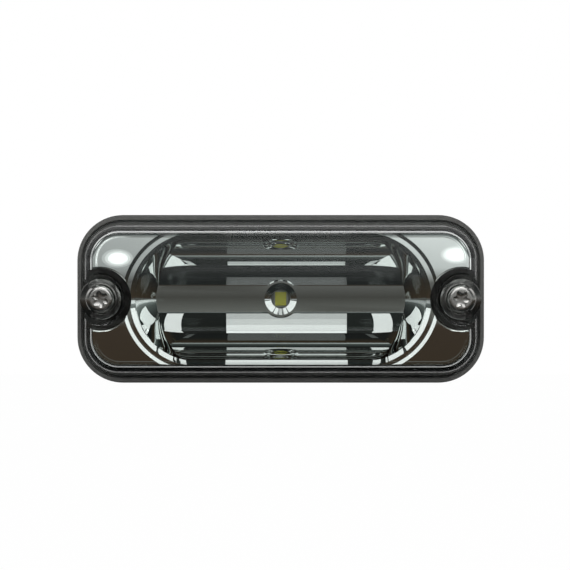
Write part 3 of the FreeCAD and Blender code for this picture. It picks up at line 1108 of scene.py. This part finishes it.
@dataclass
class MountingScrews:
    """Flange button screws with a six-lobe drive and a rolled thread behind the panel."""

    finishes: Finishes
    well: WellShape = field(default_factory=WellShape)
    seat: float = 12.2
    collar_radius: float = 6.5
    collar_edge: float = 0.7
    collar_height: float = 1.2
    collar_slope: tuple[float, float] = (0.25, 0.12)
    collar_round: float = 0.15
    head_height: float = 3.4
    dome_radius: float = 4.8
    dome_lift: float = 0.05
    dome_fillet: float = 0.12
    crown_radius: float = 3.3
    crown_flat: float = 0.8
    crown_edge: float = 0.92
    shank_radius: float = 2.7
    thread_radius: float = 3.0
    thread_root: float = 2.52
    thread_start: float = 0.05
    thread_sink: float = 0.1
    thread_steps: int = 28
    thread_ridge: tuple[float, float, float, float] = (0.10, 0.42, 0.54, 0.86)
    pitch: float = 1.0
    reach: float = 20.0
    chamfer: float = 0.8
    tip_taper: float = 0.5
    lobes: int = 6
    drive_radius: float = 2.42
    drive_wave: float = 0.36
    drive_depth: float = 2.3
    drive_point: float = 0.5
    drive_scales: tuple[float, float, float] = (0.45, 0.97, 1.0)
    drive_steps: int = 72
    turns: tuple[float, float] = (0.35, 0.1)

    def head(self) -> Mesh:
        """Head, shank and thread core on the Y axis.

        Returns:
            A new mesh.
        """
        top = self.seat + self.head_height
        collar = self.seat + self.collar_height
        edge = self.seat + self.collar_edge
        foot = collar + self.dome_lift
        crown = self.crown_radius * self.crown_edge
        in_by, up_by = self.collar_slope
        profile = [(0, top), (self.crown_radius * self.crown_flat, top)]
        for step in range(EDGE_STEPS + 1):
            turn = QUARTER * step / EDGE_STEPS
            profile.append((crown + (self.dome_radius - crown) * math.sin(turn),
                            foot + (top - foot) * math.cos(turn)))
        profile += [
            (self.dome_radius + self.dome_fillet, collar),
            (self.collar_radius - in_by, edge + up_by),
            (self.collar_radius, edge - self.collar_round),
            (self.collar_radius, self.seat + self.collar_round),
            (self.collar_radius - self.collar_round, self.seat),
            (self.shank_radius, self.seat),
            (self.shank_radius, 0.0),
            (self.thread_root, 0.0),
            (self.thread_root, self.chamfer - self.reach),
            (self.thread_root - self.tip_taper, -self.reach),
            (0, -self.reach),
        ]
        return combine(turned(profile), [(self.drive(top), Solver.CUT)])

    def drive(self, top: float) -> Mesh:
        """Six-lobe recess, tapered at its bottom.

        Args:
            top: Level of the head's crown.

        Returns:
            A new mesh.
        """
        bm = bmesh.new()
        floor = top - self.drive_depth
        rings = []
        for level, scale in zip((floor - self.drive_point, floor, top + PAST), self.drive_scales):
            made = bmesh.ops.create_circle(bm, cap_ends=False, segments=self.drive_steps,
                                           radius=1.0)
            verts = made["verts"]
            for vert in verts:
                turn = math.atan2(vert.co.y, vert.co.x)
                wave = self.drive_wave * math.cos(self.lobes * turn)
                vert.co *= (self.drive_radius + wave) * scale * MM
            lay_along_y(bm, verts)
            bmesh.ops.translate(bm, verts=verts, vec=(0, -level * MM, 0))
            rings.append(list({e for v in verts for e in v.link_edges}))
        return close_rings(bm, rings)

    def thread(self) -> Mesh:
        """Rolled thread ridge, spun along the axis.

        Returns:
            A new mesh.
        """
        bm = bmesh.new()
        root = self.thread_root - self.thread_sink
        radii = (root, self.thread_radius, self.thread_radius, root)
        verts = [bm.verts.new((radius * MM, (self.thread_start + along * self.pitch) * MM, 0))
                 for radius, along in zip(radii, self.thread_ridge)]
        section = bm.faces.new(verts)
        turns = int(self.reach - self.chamfer - PAST)
        steps = self.thread_steps * turns
        bmesh.ops.spin(bm, geom=[section] + list(section.edges) + verts, cent=(0, 0, 0),
                       axis=(0, 1, 0), dvec=(0, turns * self.pitch * MM / steps, 0),
                       angle=2 * math.pi * turns, steps=steps)
        bmesh.ops.recalc_face_normals(bm, faces=bm.faces)
        return bm

    def build(self) -> Thing:
        """Both finished screws as one piece.

        Returns:
            The finished object.
        """
        screw = self.head()
        ridge = bpy.data.meshes.new("ridge")
        thread = self.thread()
        thread.to_mesh(ridge)
        thread.free()
        screw.from_mesh(ridge)
        bpy.data.meshes.remove(ridge)
        left = list(screw.verts)
        copy = bmesh.ops.duplicate(screw, geom=left + list(screw.edges) + list(screw.faces))
        right = [v for v in copy["geom"] if isinstance(v, Vert)]
        for verts, side, turn in zip((left, right), Side, self.turns):
            bmesh.ops.rotate(screw, verts=verts, cent=(0, 0, 0),
                             matrix=Matrix.Rotation(turn, 3, "Y"))
            bmesh.ops.translate(screw, verts=verts,
                                vec=(side.value * self.well.screw_x * MM, 0, 0))
        return finished(screw, "mounting_screws_plated", self.finishes["screw_plated"],
                        "mounting_screws",
                        Edges(soften=0.08, crease=35, weld=0.003))


@dataclass
class Housing:
    """Black housing with its gasket and contact blades, with softened edges."""

    finishes: Finishes

    def build(self) -> list[Thing]:
        """Finished housing, gasket and contact blades.

        Returns:
            The finished objects.
        """
        made = [
            finished(copied("base_housing"), "housing_black", self.finishes["black_plastic"],
                     "base_housing", Edges(soften=0.45, segments=3, crease=32)),
            finished(copied("mounting_gasket"), "gasket_black", self.finishes["black_rubber"],
                     "mounting_gasket", Edges(soften=0.3, segments=3, crease=32)),
        ]
        for side in Side:
            end = side.name.lower()
            node = f"terminal_blade_{end}"
            made.append(finished(copied(node), f"blade_{end}_tinned",
                                 self.finishes["contact_tinned"], node,
                                 Edges(soften=0.2)))
        return made


@dataclass
class LightChip:
    """Light chip: ceramic body with a raised frame, and its yellow emitting face."""

    finishes: Finishes
    frame_width: float = 0.4
    frame_step: float = 0.08

    @staticmethod
    def block(node: str) -> Mesh:
        """Block that fills a node's box.

        Args:
            node: Frame node to fill.

        Returns:
            A new mesh.
        """
        low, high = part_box(node)
        bm = bmesh.new()
        bmesh.ops.create_cube(bm, size=1.0)
        bmesh.ops.scale(bm, verts=bm.verts, vec=high - low)
        bmesh.ops.translate(bm, verts=bm.verts, vec=(low + high) / 2)
        return bm

    def body(self) -> Mesh:
        """Ceramic body whose front face is sunk inside a frame.

        Returns:
            A new mesh.
        """
        bm = self.block("led_package")
        width = self.frame_width * MM
        front = [f for f in bm.faces if f.normal.y < FORWARD]
        bmesh.ops.inset_region(bm, faces=front, thickness=width, depth=0.0)
        for face in bm.faces:
            middle = face.calc_center_median()
            if face.normal.y < FORWARD and max(abs(middle.x), abs(middle.z)) < width:
                bmesh.ops.translate(bm, verts=face.verts, vec=(0, self.frame_step * MM, 0))
        return bm

    def build(self) -> list[Thing]:
        """Finished chip body and emitting face.

        Returns:
            The finished objects.
        """
        return [
            finished(self.body(), "chip_body_ceramic", self.finishes["chip_ceramic"],
                     "led_package", Edges(soften=0.12)),
            finished(self.block("led_phosphor"), "chip_face_yellow",
                     self.finishes["chip_phosphor"], "led_phosphor",
                     Edges(soften=0.1)),
        ]


def dress_frame(finishes: Finishes) -> None:
    """Gives each frame node that stays its own finish.

    Args:
        finishes: Materials of the light.
    """
    by_slot = {
        "gasket_rubber": "black_rubber",
        "seal_rubber": "grey_rubber",
        "screw_steel": "screw_plated",
        "sleeve_steel": "sleeve_plated",
        "board_mask": "board_mask",
        "component_black": "component_black",
        "capacitor_body": "capacitor_tan",
        "membrane": "vent_felt",
    }
    for part in frame["record"]["subparts"]:
        name = by_slot.get(part["material_slot"])
        obj = frame["nodes"].get(part["node"])
        if name is None or obj is None:
            continue
        obj.data.materials.clear()
        obj.data.materials.append(finishes[name])


# Studio, in metres


@dataclass(frozen=True)
class SoftLight:
    """Soft light that faces the marker light's long axis; a radiance of 1 is white.

    Bare metal and the cover's skin show it where in_metal is set, and what lies under the cover
    shows it where through_cover is set.
    """

    name: str
    place: tuple[float, float, float]
    size: tuple[float, float]
    radiance: float
    in_metal: bool = True
    through_cover: bool = True
    shape: LightShape = LightShape.BOX

    def build(self) -> None:
        """Puts the light into the scene."""
        data = bpy.data.lights.new(self.name, "AREA")
        data.shape = self.shape.value
        data.size, data.size_y = self.size
        data.energy = self.radiance * math.pi * data.size * data.size_y * self.shape.fill
        obj = bpy.data.objects.new(self.name, data)
        obj.location = self.place
        towards = -Vector((0, *self.place[1:]))
        obj.rotation_euler = towards.to_track_quat("-Z", "Y").to_euler()
        obj.visible_camera = False
        obj.visible_glossy = self.in_metal
        obj.visible_transmission = self.through_cover
        bpy.context.scene.collection.objects.link(obj)


@dataclass(frozen=True)
class Lights:
    """The studio's soft lights.

    The reflector shows a tall window of four panes with a slit at each side, and a faint light
    under it. The two lamps are not seen through the cover.
    """

    lamps: tuple[SoftLight, ...] = (
        SoftLight("key", place=(0.0, -0.45, 0.75), size=(0.9, 0.5), radiance=4.0,
                  through_cover=False),
        SoftLight("front", place=(0.0, -0.60, 0.25), size=(0.6, 0.26), radiance=1.2,
                  through_cover=False))
    under: SoftLight = SoftLight("box_under", place=(0.003, -0.325, -0.155), size=(0.062, 0.20),
                                 radiance=0.11)
    window_x: float = 0.003
    window_width: float = 0.062
    window_distance: float = 0.361
    window_half_angle: float = 5.75
    panes: tuple[tuple[float, float], ...] = (
        (31.75, 0.62), (43.25, 0.78), (54.75, 1.05), (66.25, 1.2))
    slits: tuple[tuple[str, float, float], ...] = (
        ("box_left", -0.0556, 0.0087), ("box_right", 0.0528, 0.0097))
    slit_elevation: float = 49.0
    slit_height: float = 0.30
    slit_radiance: float = 1.0
    catches: tuple[tuple[str, float, float], ...] = (
        ("catch_left", -0.1205, 0.0230), ("catch_right", 0.1296, 0.0258))
    catch_rings: tuple[tuple[float, float], ...] = (
        (1.4, 0.2), (1.15, 0.3), (0.9, 0.45), (0.65, 0.6))
    catch_size: tuple[float, float] = (0.0165, 0.0095)
    catch_distance: float = 0.82
    catch_gap: float = 0.002

    def on_window(self, x: float, elevation: float) -> tuple[float, float, float]:
        """Place at the window's distance, at an elevation in degrees."""
        turn = math.radians(elevation)
        return x, -self.window_distance * math.cos(turn), self.window_distance * math.sin(turn)

    def window(self) -> list[SoftLight]:
        """Panes of the window and the slit at each side of it.

        Returns:
            The lights.
        """
        height = 2 * self.window_distance * math.tan(math.radians(self.window_half_angle))
        made = [SoftLight(f"box_{number}", self.on_window(self.window_x, elevation),
                          (self.window_width, height), radiance)
                for number, (elevation, radiance) in enumerate(self.panes, start=1)]
        made += [SoftLight(name, self.on_window(x, self.slit_elevation),
                           (width, self.slit_height), self.slit_radiance)
                 for name, x, width in self.slits]
        return made

    def catch_ovals(self) -> list[SoftLight]:
        """Soft ovals of glare in the upper plates, each from nested faces.

        Returns:
            The lights.
        """
        width, height = self.catch_size
        made = []
        for name, x, z in self.catches:
            for number, (share, radiance) in enumerate(self.catch_rings):
                y = -self.catch_distance - self.catch_gap * number
                size = (width * share, height * share)
                made.append(SoftLight(f"{name}_{number}", (x, y, z), size, radiance,
                                      shape=LightShape.OVAL))
        return made

    def fills(self) -> list[SoftLight]:
        """Boxes at both sides that light the bowl's ends and the rims' chamfers.

        Returns:
            The lights.
        """
        made = []
        for side in Side:
            end = side.name.lower()
            made.append(SoftLight(f"fill_{end}", place=(0.28 * side.value, -0.25, 0.20),
                                  size=(0.28, 0.36), radiance=1.15, in_metal=False))
            made.append(SoftLight(f"arc_{end}", place=(0.1155 * side.value, -0.19, 0.305),
                                  size=(0.100, 0.17), radiance=1.15, in_metal=False))
        return made

    def build(self) -> None:
        """Puts all lights into the scene."""
        for light in (*self.lamps, *self.window(), self.under, *self.catch_ovals(),
                      *self.fills()):
            light.build()


@dataclass(frozen=True)
class Room:
    """Surroundings: white for the camera, and a banded room in metal and through the cover.

    The bands run from straight down at 0 to straight up at 1.
    """

    bands: tuple[tuple[float, Colour], ...] = (
        (0.0, (0.012, 0.014, 0.014)), (0.30, (0.014, 0.017, 0.017)),
        (0.470, (0.048, 0.035, 0.023)), (0.4895, (0.056, 0.040, 0.030)),
        (0.4918, (0.15, 0.15, 0.14)), (0.4948, (0.17, 0.17, 0.16)),
        (0.4958, (0.075, 0.072, 0.066)), (0.4995, (0.085, 0.080, 0.074)),
        (0.504, (0.64, 0.65, 0.65)), (0.515, (0.88, 0.89, 0.89)),
        (0.520, (0.80, 0.82, 0.82)), (0.530, (0.24, 0.26, 0.256)),
        (0.56, (0.11, 0.125, 0.12)), (0.64, (0.04, 0.047, 0.046)),
        (0.70, (0.014, 0.018, 0.017)), (1.0, (0.02, 0.024, 0.023)))
    side_reach: tuple[float, float] = (-0.12, 0.12)
    side_shade: tuple[float, float] = (0.58, 1.14)
    behind: tuple[float, float] = (0.35, 0.9)
    over: tuple[float, float] = (-0.30, -0.18)
    high: tuple[float, float] = (0.10, 0.45)
    ceiling: float = 0.72
    white: Colour = (1, 1, 1)
    soft: Colour = (0.55, 0.56, 0.56)

    def build(self) -> None:
        """Puts the surroundings into the scene."""
        world = bpy.data.worlds.new("studio")
        world.use_nodes = True
        bpy.context.scene.world = world
        world.node_tree.nodes.clear()
        graph = Graph(world.node_tree)
        parts = graph.split(graph.place("Generated"))
        bands = graph.ramp(graph.math("MULTIPLY_ADD", parts["Z"], 0.5, 0.5), self.bands)
        sideways = graph.span(parts["X"], self.side_reach, self.side_shade)
        upper = graph.math("GREATER_THAN", parts["Z"], 0.0)
        uneven = graph.mix(upper, bands, sideways, blend="MULTIPLY")
        ceiling = graph.math("MULTIPLY", graph.span(parts["Y"], self.over),
                             graph.span(parts["Z"], self.high, (0.0, self.ceiling)))
        pale = graph.math("MAXIMUM", graph.span(parts["Y"], self.behind), ceiling)
        room = graph.mix(pale, uneven, self.white)
        path = graph.node("ShaderNodeLightPath").outputs
        mirrored = graph.math("MAXIMUM", path["Is Glossy Ray"], path["Is Transmission Ray"])
        lit = graph.mix(mirrored, self.soft, room)
        background = graph.node("ShaderNodeBackground")
        graph.link(graph.mix(path["Is Camera Ray"], lit, self.white), background.inputs["Color"])
        output = graph.node("ShaderNodeOutputWorld")
        graph.link(background.outputs[0], output.inputs[0])


@dataclass(frozen=True)
class Floor:
    """Pale floor with a faint shadow."""

    level: float = -0.17
    size: float = 3.0
    paleness: float = 0.9
    rough: float = 0.9
    specular: float = 0.1
    white_share: float = 0.985

    def build(self) -> None:
        """Puts the floor into the scene."""
        bm = bmesh.new()
        bmesh.ops.create_grid(bm, x_segments=1, y_segments=1, size=self.size)
        bmesh.ops.translate(bm, verts=bm.verts, vec=(0, 0, self.level))
        obj = as_object(bm, "floor")
        material, graph, shader = new_material("pale_floor")
        graph.preset(shader, Base_Color=(*[self.paleness] * 3, 1), Roughness=self.rough,
                     Specular_IOR_Level=self.specular)
        path = graph.node("ShaderNodeLightPath")
        share = graph.math("MULTIPLY", path.outputs["Is Camera Ray"], self.white_share)
        graph.surface(share, shader, graph.node("ShaderNodeEmission"))
        obj.data.materials.append(material)
        obj.visible_glossy = False
        obj.visible_transmission = False


@dataclass(frozen=True)
class Camera:
    """Camera straight in front of the face, set by the picture's size and scale."""

    image: int = 570
    scale: float = 0.000318
    centre: tuple[float, float] = (280.7, 299.0)
    distance: float = 0.60
    elevation: float = 0.5
    aim_y: float = -0.005
    sensor: float = 36.0

    def build(self) -> None:
        """Puts the camera into the scene."""
        data = bpy.data.cameras.new("camera")
        data.sensor_width = self.sensor
        data.sensor_fit = "HORIZONTAL"
        data.lens = self.sensor * self.distance / (self.image * self.scale)
        data.shift_x = (self.image / 2 - self.centre[0]) / self.image
        data.shift_y = (self.centre[1] - self.image / 2) / self.image
        obj = bpy.data.objects.new("camera", data)
        turn = math.radians(self.elevation)
        aim = Vector((0, self.aim_y, 0))
        obj.location = aim + self.distance * Vector((0, -math.cos(turn), math.sin(turn)))
        obj.rotation_euler = (aim - obj.location).to_track_quat("-Z", "Y").to_euler()
        bpy.context.scene.collection.objects.link(obj)
        bpy.context.scene.camera = obj


def build_studio() -> None:
    """Sets up room, floor, lights and camera."""
    bpy.context.scene.view_settings.view_transform = "Standard"
    for part in (Room(), Floor(), Lights(), Camera()):
        part.build()


def main() -> None:
    """Builds each sub-assembly in order, then the studio."""
    logging.basicConfig(level=logging.INFO, format="%(message)s")
    finishes = Finishes()
    Housing(finishes).build()
    Reflector(finishes).build()
    LightChip(finishes).build()
    MountingScrews(finishes).build()
    LensCover(finishes).build()
    dress_frame(finishes)
    build_studio()


if __name__ == "__main__":
    main()
